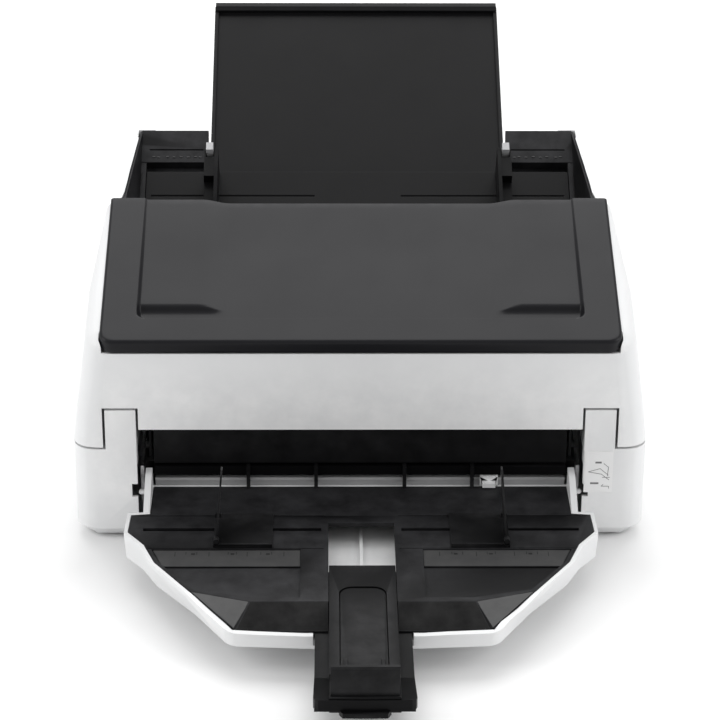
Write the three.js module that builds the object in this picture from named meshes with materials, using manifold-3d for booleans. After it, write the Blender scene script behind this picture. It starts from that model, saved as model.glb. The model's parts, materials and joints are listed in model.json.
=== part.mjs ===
// Sheet fed document scanner: lower body, lifting feeder cover, hopper chute, stacker tray.
// Millimetres, +X to the operator's right, +Y towards the rear, +Z up. The housing's front is y = 0.
import * as THREE from 'three';
import { mergeVertices } from 'three/addons/utils/BufferGeometryUtils.js';
import Module from 'manifold-3d';

const wasm = await Module();
wasm.setup();

// ---- driving dimensions ----
const GAP = 0.3;              // running gap left between neighbouring pieces
const WALL = 3;               // housing wall
const HALF_W = 219.5;          // half width of the housing at the seam
const REAR_Y = 317;           // rear face of the lower body
const SEAM_Z = 74.6;           // top of the lower body in front of the hopper
const COVER_Z = 76.4;         // bottom of the lifting cover's legs
const COVER_REAR = 155;       // rear face of the lifting cover
const BASE = { bottom: -1.3, floor: 1.2, top: 6.2 };   // base plate: underside, tray floor, rim
const FOOT_Z = -3.5;          // height that the feet stand on
const MOUTH_X = 170;          // half width of the paper exit
const MOUTH_TOP = 91.5;       // top of the paper exit
const POST = { x0: 170.6, x1: 194, top: 107.6, notch0: 168.7, notch1: 196, clearTop: 109.5 };
const CORNER_R = 18;          // plan radius of the housing's front corners
const REAR_R = 3;             // plan radius of its rear corners
const TOP_Z0 = 166;           // height of the black top at the front plane
const TOP_SLOPE = 0.3576;     // rise of the black top per millimetre
const HINGE = { y: 160, z: 208, r: 4 };
const HOPPER = { y: 249.6, z: 178.1, slope: 0.5843 };
const TABLE = { front: -138.5, rear: 32.6, halfW: 176.6, t: 4 };
const CHUTE = { front: -133, rear: 78, floorTop: -8.3, floorBottom: -13.5, notchX: 125.5, blockV: 42.6 };
const EXT = { halfW: 123.6, v0: -20, v1: 223, top: -4.5, bottom: -7.9, rim: -2.1 };
const GUIDE = { inner: 115.5, front: -82.9, rear: 32.2, high: 32 };
const STACK = { top: 38, skirt: 34, floor: 17, pivotY: 5, pivotZ: 36 };
const SHAFTS = {
  feed: { y: 97.4, z: 75.9, r: 12 },
  brake: { y: 86.4, z: 97.6, r: 12 },
  pick: { y: 110.6, z: 113.0, r: 14 },
  ejectLow: { y: 29.8, z: 50.8, r: 9 },
  ejectHigh: { y: 22.1, z: 68.4, r: 9 },
  motor: { y: 128, z: 45, r: 6 },
};
const SHAFT_R = 3;
const FRAME_X = [166.5, 169.5];   // steel side frames
const UPPER_X = [160, 162];       // steel plates of the lifting cover
const PATH = [[10, 56.5], [22, 58], [40, 65.5], [66, 77], [95, 88], [115, 98.5], [126, 105]];

// ---- colours ----
const paint = (color, roughness = 0.6, metalness = 0) =>
  new THREE.MeshStandardMaterial({ color, roughness, metalness });
const WHITE = [0xdcdddf, 0.5];
const BLACK = [0x232325, 0.55];
const SOFT_BLACK = [0x2b2b2d, 0.6];
const GREY = [0xb9babc, 0.5];
const RUBBER = [0x1d1d1e, 0.85];
const STEEL = [0x9b9da0, 0.35, 1];
const GLASS = [0x9fb4bb, 0.08];

// ---- solids ----
function solid(geometry) {
  const g = geometry.clone();
  g.deleteAttribute('normal');
  g.deleteAttribute('uv');
  const merged = mergeVertices(g, 1e-4);
  const pos = merged.attributes.position.array;
  const tri = Uint32Array.from(merged.index.array);
  let volume = 0;
  const a = new THREE.Vector3(), b = new THREE.Vector3(), c = new THREE.Vector3();
  for (let i = 0; i < tri.length; i += 3) {
    a.fromArray(pos, tri[i] * 3);
    b.fromArray(pos, tri[i + 1] * 3);
    c.fromArray(pos, tri[i + 2] * 3);
    volume += a.dot(b.cross(c));
  }
  if (volume < 0) {
    for (let i = 0; i < tri.length; i += 3) [tri[i], tri[i + 1]] = [tri[i + 1], tri[i]];
  }
  return new wasm.Manifold(new wasm.Mesh({ numProp: 3, vertProperties: Float32Array.from(pos), triVerts: tri }));
}

const join = (first, ...rest) => rest.reduce((sum, s) => sum.add(s), first);
const cut = (first, ...rest) => rest.reduce((left, s) => left.subtract(s), first);

function mesh(name, body, look) {
  const m = body.getMesh();
  const g = new THREE.BufferGeometry();
  g.setAttribute('position', new THREE.BufferAttribute(Float32Array.from(m.vertProperties), 3));
  g.setIndex(new THREE.BufferAttribute(Uint32Array.from(m.triVerts), 1));
  g.computeVertexNormals();
  const out = new THREE.Mesh(g, paint(...look));
  out.name = name;
  return out;
}

const outline = (points) => new THREE.Shape(points.map(([a, b]) => new THREE.Vector2(a, b)));
const mirrored = (points) => [...points, ...points.map(([x, y]) => [-x, y]).reverse()];
const sided = (points, side) => points.map(([x, y]) => [x * side, y]);

// plan outline in x and y, raised from z0 to z1
function slabGeometry(points, z0, z1) {
  const shape = points instanceof THREE.Shape ? points : outline(points);
  return new THREE.ExtrudeGeometry(shape, { depth: z1 - z0, bevelEnabled: false, curveSegments: 6 })
    .translate(0, 0, z0);
}
const slab = (points, z0, z1) => solid(slabGeometry(points, z0, z1));

// solid between two plan outlines of equal length
function tapered(below, over, z0, z1) {
  const g = slabGeometry(below, z0, z1), p = g.attributes.position;
  const key = (x, y) => `${x.toFixed(3)},${y.toFixed(3)}`;
  const order = new Map(below.map(([x, y], i) => [key(x, y), i]));
  for (let i = 0; i < p.count; i++) {
    if (p.getZ(i) < (z0 + z1) / 2) continue;
    const [x, y] = over[order.get(key(p.getX(i), p.getY(i)))];
    p.setXYZ(i, x, y, z1);
  }
  return solid(g);
}

// section in y and z, swept along x; place(t, y, z) gives x, and bend() may move the section
const TO_X = new THREE.Matrix4().makeBasis(
  new THREE.Vector3(0, 1, 0), new THREE.Vector3(0, 0, 1), new THREE.Vector3(1, 0, 0));
function sweep(points, stations, place, bend = (x, y, z) => [y, z]) {
  const steps = stations.length - 1;
  const shape = points instanceof THREE.Shape ? points : outline(points);
  const g = new THREE.ExtrudeGeometry(shape, { depth: steps, steps, bevelEnabled: false, curveSegments: 6 })
    .applyMatrix4(TO_X);
  const p = g.attributes.position;
  for (let i = 0; i < p.count; i++) {
    const t = stations[Math.round(p.getX(i))];
    const x = place(t, p.getY(i), p.getZ(i));
    const [y, z] = bend(x, p.getY(i), p.getZ(i));
    p.setXYZ(i, x, y, z);
  }
  return solid(g);
}
const bar = (points, x0, x1) => sweep(points, [x0, x1], (t) => t);
const box = (x0, x1, y0, y1, z0, z1) => bar([[y0, z0], [y1, z0], [y1, z1], [y0, z1]], x0, x1);

// turned piece along x: profile of [x, radius] at height z and depth y
function turned(profile, y, z, segments = 24) {
  const points = profile.map(([x, r]) => new THREE.Vector2(r, x));
  const g = new THREE.LatheGeometry(points, segments).applyMatrix4(new THREE.Matrix4().makeBasis(
    new THREE.Vector3(0, 1, 0), new THREE.Vector3(1, 0, 0), new THREE.Vector3(0, 0, 1)));
  return solid(g.translate(0, y, z));
}
const rod = (x0, x1, r, y, z, segments = 20) =>
  turned([[x0, 0], [x0, r], [x1, r], [x1, 0]], y, z, segments);

const hull = (points, side = 1) => wasm.Manifold.hull(points.map(([x, y, z]) => [side * x, y, z]));

// everything above the plane through three points
function above(a, b, c, reach = 400, high = 60) {
  const [A, B, C] = [a, b, c].map((p) => new THREE.Vector3(...p));
  const n = B.clone().sub(A).cross(C.clone().sub(A)).normalize();
  if (n.z < 0) n.negate();
  const turn = new THREE.Quaternion().setFromUnitVectors(new THREE.Vector3(0, 0, 1), n);
  const g = new THREE.BoxGeometry(reach, reach, high).applyQuaternion(turn);
  const centre = A.add(B).add(C).divideScalar(3).addScaledVector(n, high / 2);
  return solid(g.translate(centre.x, centre.y, centre.z));
}

// the hopper plane: x across, v up the slope, w square to it
const HOPPER_ANGLE = Math.atan(HOPPER.slope);
const ON_HOPPER = new THREE.Matrix4().makeRotationX(HOPPER_ANGLE).setPosition(0, HOPPER.y, HOPPER.z);
const hopperPoint = (v, w) => [
  HOPPER.y + v * Math.cos(HOPPER_ANGLE) - w * Math.sin(HOPPER_ANGLE),
  HOPPER.z + v * Math.sin(HOPPER_ANGLE) + w * Math.cos(HOPPER_ANGLE)];
const hopperSlab = (points, w0, w1) => solid(slabGeometry(points, w0, w1).applyMatrix4(ON_HOPPER));
const hopperBox = (x0, x1, v0, v1, w0, w1) =>
  hopperSlab([[x0, v0], [x1, v0], [x1, v1], [x0, v1]], w0, w1);
const hopperBar = (points, x0, x1) => bar(points.map(([v, w]) => hopperPoint(v, w)), x0, x1);

// the sloping black top: x across, s up the slope, n square to it
const TOP_ANGLE = Math.atan(TOP_SLOPE);
const ON_TOP = new THREE.Matrix4().makeRotationX(TOP_ANGLE).setPosition(0, 0, TOP_Z0);
const topSlab = (points, n0, n1) => solid(slabGeometry(points, n0, n1).applyMatrix4(ON_TOP));
const topZ = (y) => TOP_Z0 + TOP_SLOPE * y;

// ---- outer surface of the housing ----
const lerp = (a, b, t) => a + (b - a) * Math.min(1, Math.max(0, t));
const rimZ = (y) => (y < COVER_REAR ? topZ(y) - 5 : lerp(204, 218.4, (y - 172) / (REAR_Y - 172)));
function rimHalfWidth(y) {
  if (y < 65) return 207.4;
  if (y < COVER_REAR) return lerp(207.4, 199, (y - 65) / 90);
  if (y < 200) return lerp(199, 191.6, (y - COVER_REAR) / 45);
  return lerp(191.6, 185.8, (y - 200) / (REAR_Y - 200));
}
function halfWidth(y, z) {
  if (z < 80) return HALF_W;
  return lerp(HALF_W, rimHalfWidth(y), (z - 80) / (rimZ(y) - 80));
}
// how far the sides draw in at the rounded front and rear corners of a skin set in by inset
function cornerInset(y, inset) {
  const turn = (into, r) => (into <= 0 ? 0 : r - Math.sqrt(Math.max(0, r * r - into * into)));
  return Math.max(turn(CORNER_R - y, CORNER_R - inset), turn(y - (REAR_Y - REAR_R), REAR_R - inset));
}
const FRONT_STATIONS = [0, 1.4, 3.6, 7, 12, 18];
const REAR_STATIONS = [309, 314, 315.2, 316.3, 317];

// closed sections in x and z, one for each depth in ys, joined into one solid
function loft(ys, section) {
  const sections = ys.map(section);
  const key = (a, b) => `${a.toFixed(3)},${b.toFixed(3)}`;
  const order = new Map(sections[0].map(([x, z], i) => [key(x, z), i]));
  const g = new THREE.ExtrudeGeometry(outline(sections[0]), {
    depth: ys.length - 1, steps: ys.length - 1, bevelEnabled: false });
  const p = g.attributes.position;
  for (let i = 0; i < p.count; i++) {
    const station = Math.round(p.getZ(i));
    const [x, z] = sections[station][order.get(key(p.getX(i), p.getY(i)))];
    p.setXYZ(i, x, ys[station], z);
  }
  return solid(g);
}

// ---- lower body ----
function basePlate() {
  const plan = (inset) => mirrored([[0, 1 + inset], [203, 1 + inset], [210.5 - inset, 3.2 + inset],
    [215.4 - inset, 7.4 + inset], [218.2 - inset, 12.6 + inset], [218.9 - inset, 20], [218.9 - inset, 308],
    [216 - inset, REAR_Y - 2 - inset], [0, REAR_Y - 1 - inset]]);
  let body = cut(tapered(plan(6), plan(0), BASE.bottom, BASE.top), slab(plan(7), BASE.floor, 20));
  body = join(body, box(-169.5, 169.5, 0.2, 4.5, BASE.bottom, 15.5));
  for (let i = 0; i < 9; i++) {
    const x = -128 + i * 32;
    body = cut(body, box(x - 12, x + 12, 150, 154, -5, 7), box(x - 12, x + 12, 200, 204, -5, 7));
  }
  return body;
}

// one side of the lower body between two heights, from x0 out to the housing surface
function flank(side, ys, x0, inset, heights, topInset = 0) {
  return loft(ys, (y) => {
    const zs = typeof heights === 'function' ? heights(y) : heights;
    const edge = (z) => halfWidth(y, z) - inset - cornerInset(y, inset);
    const outer = zs.map((z, i) => [edge(z) - (i === zs.length - 1 ? topInset : 0), z]);
    return sided([[x0, zs[0]], ...outer, [x0, zs[zs.length - 1]]], side);
  });
}

function sideCover(side) {
  const rise = 158.5;
  const lowYs = [...FRONT_STATIONS, ...REAR_STATIONS];
  const highYs = [rise, 175, 200, 240, 270, ...REAR_STATIONS];
  const climb = (y) => [70, 80, 110, 140, 170, rimZ(y) - 4, rimZ(y)].map((z, i) => Math.max(z, 70 + i));
  const squeeze = (ys, inset, from) => ys.map((y) => Math.min(Math.max(y, from), REAR_Y - inset))
    .filter((y, i, all) => i === 0 || y > all[i - 1] + 0.01);
  const low = cut(flank(side, lowYs, POST.x0, 0, [6.5, 10, SEAM_Z]),
    flank(side, squeeze(lowYs, WALL, WALL), 150, WALL, [-5, 9, SEAM_Z - WALL]));
  const high = cut(flank(side, highYs, POST.x0, 0, climb, 1.2),
    flank(side, squeeze(highYs, WALL, rise + WALL), 150, WALL, [60, 80, 110, 140, 170, 200, 216, 260]));
  const post = cut(box(side * POST.x0, side * POST.x1, 0, 12, 60, POST.top),
    box(side * (POST.x0 + 2.5), side * (POST.x1 - 2.5), 2.5, 14, 50, POST.top - 2.5));
  const throat = flank(side, squeeze(highYs, WALL, rise + WALL), 150, WALL, [60, 66, SEAM_Z - WALL]);
  const hingeNotch = box(side * 150, side * 187, 150, 166, 98, 260);
  const pivotNotch = box(side * 169, side * 175, -5, 9.5, 34, 45);
  const pulleyNotch = box(side * 169, side * 180, 84, 118, 70, 90);
  const hopperSeat = box(side * 150, side * 184.6, 300, REAR_Y - WALL + 0.1, 190, 260);
  return cut(join(low, high, post), throat, hingeNotch, pivotNotch, pulleyNotch, hopperSeat);
}

function rearCover() {
  let body = box(-170.3, 170.3, REAR_Y - WALL, REAR_Y, 6.5, 196);
  body = cut(body, box(119.7, 148.3, 300, 330, 19.7, 42.3), box(94.5, 110.5, 300, 330, 23, 41),
    box(59.2, 72.8, 300, 330, 25.2, 37.8));
  for (let i = 0; i < 15; i++) {
    const x = -112 + i * 16;
    body = cut(body, box(x - 1.6, x + 1.6, 300, 330, 120, 160));
  }
  return body;
}

const rearScrew = (side) => {
  const g = new THREE.CylinderGeometry(2.4, 3.4, 1.6, 20).translate(0, REAR_Y + GAP + 0.8, 0);
  const head = solid(g.translate(side * 150, 0, 60));
  return cut(head, box(side * 150 - 2, side * 150 + 2, REAR_Y + 1.2, REAR_Y + 3, 59.6, 60.4));
};

function sideFrame(side) {
  const [a, b] = FRAME_X.map((x) => x * side);
  const plate = bar([[19, 6], [150, 6], [150, 84], [132, 99], [118, 93], [95, 83], [66, 71.5], [40, 60], [19, 51]],
    a, b);
  const bores = [SHAFTS.feed, SHAFTS.motor, SHAFTS.ejectLow]
    .map((s) => rod(Math.min(a, b) - 5, Math.max(a, b) + 5, SHAFT_R + GAP, s.y, s.z));
  return cut(plate, ...bores);
}

function hopperBase() {
  const floor = hopperSlab(mirrored([[0, CHUTE.front], [181, CHUTE.front], [181, CHUTE.rear - 4],
    [0, CHUTE.rear - 4]]), CHUTE.floorBottom, CHUTE.floorTop);
  const liner = (side) => loft([168, 200, 240, 275, 300, 313.7], (y) => {
    const plane = HOPPER.z + HOPPER.slope * (y - HOPPER.y);
    const top = rimZ(y) - 1;
    const outer = (z) => halfWidth(y, z) - WALL - GAP - cornerInset(y, WALL + GAP);
    const inner = (z) => Math.min(lerp(181, 187.5, (z - plane) / 55), outer(z) - 1.2);
    const low = plane - 12;
    const zs = [low, lerp(low, top, 0.35), lerp(low, top, 0.7), top];
    return sided([...zs.map((z) => [outer(z), z]), ...zs.map((z) => [inner(z), z]).reverse()], side);
  });
  const block = (side) => hopperBar([[CHUTE.blockV, CHUTE.floorBottom], [CHUTE.blockV, 0],
    [CHUTE.rear - 3, 2.4], [CHUTE.rear - 3, CHUTE.floorBottom]], side * CHUTE.notchX, side * 181.6);
  const ledge = (side) => hopperBox(side * 177, side * 183, -100, CHUTE.blockV + 1, CHUTE.floorBottom, -0.4);
  const slot = (side) => hopperBox(side * 129.5, side * 175, 54.6, 56, -0.6, 3);
  const feet = hopperBox(-60, 60, -124, -108, CHUTE.floorBottom - 10, CHUTE.floorBottom + 1);
  return cut(join(floor, liner(1), liner(-1), block(1), block(-1), ledge(1), ledge(-1), feet), slot(1), slot(-1),
    box(-200, 200, REAR_Y - WALL - GAP, 340, 100, 300));
}

function frontLowerPanel() {
  const plate = box(-158, 158, 14.6, 17.4, 3, 44);
  return join(plate, box(-158, 158, 12.4, 15, 41.6, 44));
}

const pathLine = (offset, from, to) => PATH.filter(([y]) => y >= from && y <= to).map(([y, z]) => [y, z + offset]);

function lowerPaperGuide() {
  const top = pathLine(-1.6, 10, 126);
  const under = pathLine(-6.2, 22, 126).reverse();
  let body = bar([...top, ...under, [18.2, 50], [18.2, 44.6], [10, 48]], -165.8, 165.8);
  for (const side of [1, -1]) body = cut(body, box(side * 158, side * 170, 0, 18, 30, 70));
  for (const x of [-86, -34, 34, 86]) {
    body = join(body, bar([[5.5, 38.6], [11.8, 38.6], [11.8, 49], [16, 53], [10, 57.5], [5.5, 56]], x - 1.4, x + 1.4));
  }
  body = cut(body, box(-151, 151, 42.4, 62.6, 40, 90), box(-32, 32, 84, 111, 60, 100));
  for (const x of [-110, -60, 0, 60, 110]) body = cut(body, box(x - 13, x + 13, 20.2, 39.6, 40, 70));
  return body;
}

const lowerScanUnit = () => join(bar([[44, 62.6], [62, 70.6], [62, 28], [44, 28]], -148, 148),
  box(-140, 140, 40, 66, 22, 30));
const lowerGlass = () => bar([[43, 65.1], [61, 73.1], [61.9, 71.2], [43.9, 63.2]], -150.5, 150.5);

function driveMotor() {
  const { y, z } = SHAFTS.motor;
  return turned([[-166.2, 0], [-166.2, 14], [-163, 14], [-163, 20], [-128, 20], [-126, 18], [-126, 0]], y, z, 32);
}

// loop round two pulleys, with external tangents
function driveBelt() {
  const loop = (extra) => {
    const a = SHAFTS.motor, b = SHAFTS.feed;
    const d = Math.hypot(b.y - a.y, b.z - a.z), heading = Math.atan2(b.z - a.z, b.y - a.y);
    const ra = 6 + extra, rb = 9 + extra, lean = Math.acos((ra - rb) / d);
    const points = [];
    for (let i = 0; i <= 12; i++) {
      const t = heading + lean + (2 * Math.PI - 2 * lean) * i / 12;
      points.push([a.y + ra * Math.cos(t), a.z + ra * Math.sin(t)]);
    }
    for (let i = 0; i <= 12; i++) {
      const t = heading - lean + 2 * lean * i / 12;
      points.push([b.y + rb * Math.cos(t), b.z + rb * Math.sin(t)]);
    }
    return points;
  };
  return cut(bar(loop(1.6), -176.4, -172.6), bar(loop(0.4), -180, -170));
}

function mainBoard() {
  let body = box(-118, 52, 300, 301.6, 18, 112);
  for (let i = 0; i < 5; i++) body = join(body, box(-104 + i * 30, -84 + i * 30, 295, 300.5, 40, 60));
  return join(body, box(-40, 20, 292, 300.5, 70, 92));
}

function powerInlet() {
  const body = join(box(120, 148, 298, 318, 20, 42), box(115, 153, REAR_Y + GAP, 319.6, 15, 47));
  const chamfered = (x0, x1, z0, z1) => [[x0, z0], [x1, z0], [x1, z1 - 4], [x1 - 4, z1], [x0 + 4, z1], [x0, z1 - 4]];
  const cavity = solid(slabGeometry(chamfered(123, 145, 22.5, 39.5), -320.5, -303).rotateX(Math.PI / 2));
  let out = cut(body, cavity);
  for (const [x, z] of [[128, 29], [140, 29], [134, 34]]) out = join(out, box(x - 1, x + 1, 302, 316, z - 2, z + 2));
  return out;
}

const usbPort = () => join(cut(box(60, 72, 300, 318, 26, 37), box(61.4, 70.6, 308, 320, 27.4, 35.6)),
  box(63.5, 68.5, 306, 316, 30, 32.6));

const guideLabel = () => box(171.4, 193.2, -0.7, -0.1, 38, 73);

function hingeBracket(side) {
  const plate = bar([[161.8, 130], [167.6, 130], [167.6, 205], [164, 213], [HINGE.y - 5, 213], [HINGE.y - 5, 204],
    [161.8, 196]], side * 183, side * 186);
  return join(plate, rod(Math.min(side * 177, side * 184), Math.max(side * 177, side * 184), HINGE.r, HINGE.y, HINGE.z));
}

// ---- lifting cover ----
function coverSkin(inset, ys, bottom) {
  return loft(ys, (y) => {
    const deck = topZ(y) - 3 - inset - (y > 150 ? (y - 150) * 0.8 : 0);
    const edge = (z) => halfWidth(y, z) - inset - cornerInset(y, inset);
    const eave = deck - 9;
    const reach = edge(eave) - (195 - inset * 0.5 - cornerInset(y, inset));
    const arc = [0.25, 0.5, 0.75, 1].map((t) => [edge(eave) - reach * (1 - Math.cos(t * Math.PI / 2)),
      eave + 9 * Math.sin(t * Math.PI / 2)]);
    const side = [bottom, lerp(bottom, eave, 0.33), lerp(bottom, eave, 0.66), eave].map((z) => [edge(z), z]);
    return mirrored([...side, ...arc]);
  });
}

function upperCover() {
  const outerYs = [...FRONT_STATIONS, 42, 65, 90, 120, 151, COVER_REAR];
  const innerYs = [3, 4.2, 6.5, 10, 14, 20, 42, 65, 90, 120, 148, COVER_REAR - WALL];
  let body = cut(coverSkin(0, outerYs, COVER_Z), coverSkin(WALL, innerYs, 60));
  body = cut(body, slab(mirrored([[0, -6], [193.4, -6], [193.8, -1.2], [196.9, 5.6], [196.9, 12.3], [0, 12.3]]),
    154.9, 185));                                                                // seat of the black lip
  body = join(body, box(-188, 188, 3, 12.6, 148, 154.9));
  body = cut(body, box(-MOUTH_X, MOUTH_X, -5, 30, 60, MOUTH_TOP));                 // paper exit
  body = cut(body, box(-184, 184, 140, 170, 60, 150));                             // paper entry
  for (const side of [1, -1]) {
    body = cut(body, box(side * POST.notch0, side * POST.notch1, -5, 32, 60, POST.clearTop));
    body = cut(body, box(side * 168, side * 187, 148, 170, 177, 260));             // hinge pocket
  }
  return cut(body, topSlab(mirrored([[0, 14], [178, 14], [178, 175], [0, 175]]), -30, 10));
}

function topCover() {
  const plan = mirrored([[0, -2.2], [185, -2.2], [192.4, -0.4], [196.2, 6], [195.4, 160], [194, 161.5], [0, 161.5]]);
  const tub = mirrored([[0, 16], [177, 16], [177, 161.5], [0, 161.5]]);
  let body = join(topSlab(plan, -2.6, 0), topSlab(tub, -10.4, -1));
  const lip = slab(mirrored([[0, -2.2], [185, -2.2], [192.4, -0.6], [196.2, 6], [196.2, 12], [0, 12]]), 155.2, 172);
  body = join(body, cut(lip, topSlab(mirrored([[0, -40], [220, -40], [220, 60], [0, 60]]), -1, 40)));
  const dish = [[23.4, 5], [23.4, -4.2], [33, -5], [161.6, -2.6], [175, -2.4], [175, 5]];
  const middle = [[41, 5], [41, -4.8], [47, -7.4], [161.6, -7.4], [175, -7.4], [175, 5]];
  const alongTop = ([v, n]) => [v * Math.cos(TOP_ANGLE) - n * Math.sin(TOP_ANGLE),
    TOP_Z0 + v * Math.sin(TOP_ANGLE) + n * Math.cos(TOP_ANGLE)];
  body = cut(body, bar(dish.map(alongTop), -170, 170));
  body = cut(body, sweep(middle.map(alongTop), [-1, 1], (t, y, z) => {
    const depth = (topZ(y) - z) * Math.cos(TOP_ANGLE);
    return t * lerp(122, 106, depth / 7.4);
  }));
  const lug = (side) => box(side * 168, side * 186, 147, 170, 190, 240);
  return cut(body, lug(1), lug(-1));
}

function upperPaperGuide() {
  const below = pathLine(1.6, 10, 115);
  const overTop = pathLine(6.2, 22, 95).reverse();
  const flare = [[119.6, 121], [148, 136.8], [148, 141.5], [117.4, 124.6], [112.9, 103]];
  let body = bar([...below, ...flare, ...overTop, [13, 66], [13, 100], [10, 100]], -158, 158);
  body = cut(body, box(-151, 151, 41.4, 61.2, 60, 98), box(-34, 34, 93, 129, 80, 130),
    box(-30, 30, 72.5, 101.5, 70, 96));
  for (const x of [-110, -60, 0, 60, 110]) body = cut(body, box(x - 13, x + 13, 12.4, 33, 50, 79));
  return body;
}

const upperScanUnit = () => join(bar([[42.3, 71], [60, 79], [60, 124], [42.3, 124]], -148, 148),
  box(-140, 140, 38, 64, 122, 134));
const upperGlass = () => bar([[43, 68.5], [60.6, 76.4], [59.8, 78.3], [42.2, 70.4]], -150.5, 150.5);

function upperSidePlate(side) {
  const [a, b] = UPPER_X.map((x) => x * side);
  let plate = bar([[14, 62], [22, 66], [40, 74], [66, 85], [90, 94], [112, 104.5], [117, 109.5], [119.4, 123], [148, 139], [148, 196], [128, 196],
    [110, 150], [60, 140], [14, 100]], a, b);
  for (const s of [SHAFTS.brake, SHAFTS.pick, SHAFTS.ejectHigh]) {
    plate = cut(plate, rod(Math.min(a, b) - 5, Math.max(a, b) + 5, SHAFT_R + GAP, s.y, s.z));
  }
  const arm = bar([[128, 180], [148, 184], [HINGE.y + 3, 201], [HINGE.y + 6, HINGE.z], [HINGE.y, 214],
    [152, 212], [128, 196]], side * 178.5, side * 181.5);
  const tie = box(side * 160, side * 181.5, 128, 142, 186, 189);
  const bore = rod(-190, 190, HINGE.r + GAP, HINGE.y, HINGE.z);
  return cut(join(plate, arm, tie), bore);
}

// ---- rollers ----
function rollerShaft(at, x0, x1) {
  return rod(x0, x1, SHAFT_R, at.y, at.z);
}
const rollerSleeve = (at, halfLength) => turned([[-halfLength, SHAFT_R + 0.05], [-halfLength, at.r - 1],
  [-halfLength + 1, at.r], [halfLength - 1, at.r], [halfLength, at.r - 1], [halfLength, SHAFT_R + 0.05],
  [-halfLength, SHAFT_R + 0.05]], at.y, at.z, 24);

function feedShaft() {
  const { y, z } = SHAFTS.feed;
  return turned([[-178, 0], [-178, 10.2], [-177, 10.2], [-177, 9], [-172, 9], [-172, 10.2], [-171, 10.2], [-171, 3],
    [169, 3], [169, 0]], y, z);
}
function motorPulley() {
  const { y, z } = SHAFTS.motor;
  return turned([[-178, 0], [-178, 7.2], [-177, 7.2], [-177, 6], [-172, 6], [-172, 7.2], [-171, 7.2], [-171, 3],
    [-166.5, 3], [-166.5, 0]], y, z);
}
function ejectRoller(at, x1) {
  const profile = [[-x1, 0], [-x1, SHAFT_R]];
  for (const x of [-110, -60, 0, 60, 110]) {
    profile.push([x - 11, SHAFT_R], [x - 11, at.r], [x + 11, at.r], [x + 11, SHAFT_R]);
  }
  profile.push([x1, SHAFT_R], [x1, 0]);
  return turned(profile, at.y, at.z, 16);
}

// ---- hopper ----
function hopperTable() {
  let body = hopperSlab(mirrored([[0, TABLE.front], [176, TABLE.front], [TABLE.halfW, TABLE.front + 6],
    [TABLE.halfW, TABLE.rear], [0, TABLE.rear]]), -TABLE.t, 0);
  body = cut(body, hopperBox(-36, 36, TABLE.front - 5, -118, -9, 3));
  for (const side of [1, -1]) {
    body = cut(body, hopperBox(side * 118, side * 124.6, -160, 60, -9, -1.7));
    body = cut(body, hopperBox(side * 36, side * 172, -38, -35, -1, 3), hopperBox(side * 36, side * 172, 6, 7.4, -0.8, 3));
  }
  return body;
}

function sideGuide(side) {
  const { inner, front, rear, high } = GUIDE;
  const fence = hopperBar([[front, GAP], [rear, GAP], [rear, high], [front + 34, high],
    [front + 14, high - 5], [front + 3, 14]], side * inner, side * (inner + 3));
  const shoe = hopperSlab(sided([[inner + 0.6, front + 1], [inner + 6, front + 1], [inner + 12.6, front + 20],
    [inner + 12.6, rear - 1], [inner + 0.6, rear - 1]], side), GAP + 0.2, 3.2);
  const block = hopperBar([[-52, 2], [rear - 1, 2], [rear - 1, high - 0.6], [3, high - 0.6], [2.4, 23.5], [-44, 22]],
    side * (inner + 1.2), side * (inner + 11.4));
  const keel = hopperBox(side * (inner + 0.5), side * (inner + 10), -37.6, -35.4, -0.7, 2);
  const pocket = hopperBox(side * (inner + 3.8), side * (inner + 10.2), 23, rear + 5, 24, 50);
  return cut(join(fence, shoe, block, keel), pocket);
}

const lockTab = (side) => hopperBox(side * (GUIDE.inner + 4.1), side * (GUIDE.inner + 9.9), 27.6, 35.4, 24.3, 35.2);

function hopperExtension() {
  const { halfW, v0, v1, top, bottom, rim } = EXT;
  let body = hopperSlab(mirrored([[0, v0], [halfW, v0], [halfW, v1 - 1], [halfW - 1, v1], [0, v1]]), bottom + 1, top);
  for (const side of [1, -1]) {
    body = join(body, hopperBox(side * (halfW - 3.2), side * halfW, v0, v1 - 4, bottom, rim));
  }
  body = join(body, hopperBar([[v1 - 9, bottom], [v1, bottom], [v1, -0.5], [v1 - 5, 0.5], [v1 - 9, -0.5]],
    -(halfW - 0.6), halfW - 0.6));
  for (const x of [-80, -40, 0, 40, 80]) body = join(body, hopperBox(x - 1, x + 1, v0 + 10, v1 - 8, bottom, top - 1));
  return body;
}

// ---- stacker ----
const PLATE_HALF = [[159, 9], [159, -35.2], [173.2, -37], [173.9, -63], [160.8, -82.6], [151.7, -108.9],
  [124, -151.4], [80.5, -166]];
const SHELL_FOOT = [[164.5, 12.4], [164.5, -32], [175, -34.4], [175.6, -64.4], [161.9, -83], [150.4, -107.4],
  [120.4, -148.8], [97.4, -187.6], [94.2, -190.8], [89.6, -192.8], [42, -196], [0, -196.2]];
const TRAY_FOOT = [[159.3, 9.4], [159.3, -34.9], [172, -37], [172.6, -63.4], [159, -82], [147.5, -106],
  [118, -147], [91.6, -189.6], [42, -193.2], [0, -193.4]];
const TRAY_HALF = [[159.3, 9.4], [159.3, -34.9], [173.5, -36.7], [174.3, -63.2], [161.1, -82.8], [152, -109],
  [124.3, -151.7], [92.9, -191.2]];
const SHELL_HALF = [[164.5, 12.4], [164.5, -32], [176.2, -33.6], [177, -64], [163.7, -83.8], [154.6, -110],
  [126.6, -153.4], [99.6, -189.2], [96.2, -192.6], [91.4, -194.7]];
const CORNER_FACET = (side) => above([side * 124, -151.5, 38.2], [side * 80.5, -166, 38.2], [side * 94, -193, 29]);
const FRONT_FACET = () => above([-60, -164.2, 38.2], [60, -164.2, 38.2], [0, -193, 28.6]);

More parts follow.
